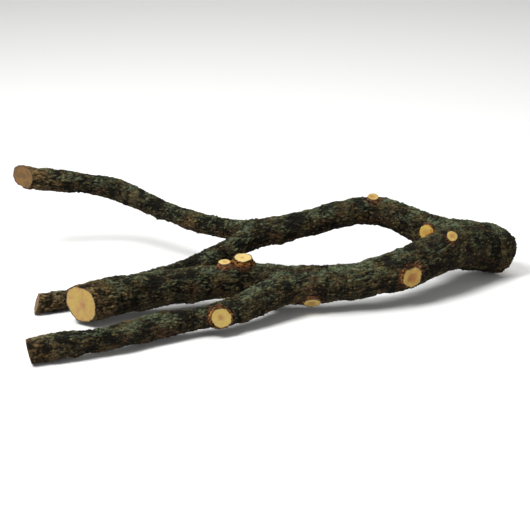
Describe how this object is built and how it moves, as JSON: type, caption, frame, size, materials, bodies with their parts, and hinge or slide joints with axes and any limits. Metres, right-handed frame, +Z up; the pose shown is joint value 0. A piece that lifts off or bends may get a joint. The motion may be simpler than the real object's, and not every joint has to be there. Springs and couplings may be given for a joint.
{
  "type": "fallen tree branch",
  "caption": "Forked, pruned tree branch lying on the ground, with dark rough bark, sawn ends and sawn knots where side shoots were cut off.",
  "frame": {"origin": "on the ground under the middle of the whole branch", "axes": "+X from the tips to the sawn butt, +Y to the side of the high twig, +Z up from the ground"},
  "size_m": [0.5796, 0.3882, 0.1057],
  "materials": {
    "bark": "rough, finely wrinkled olive-black bark with green-grey lichen dust and rusty patches; paler and browner at the tips",
    "sawn_wood": "bare yellow-tan sawn wood with faint growth rings, saw marks, an orange-brown heart and a dark bark edge"
  },
  "bodies": {
    "root": {"stem": "bark", "back_limb": "bark", "front_limb": "bark", "high_twig": "bark", "low_twig": "bark", "thick_limb": "bark", "near_twig": "bark"}
  },
  "joints": []
}
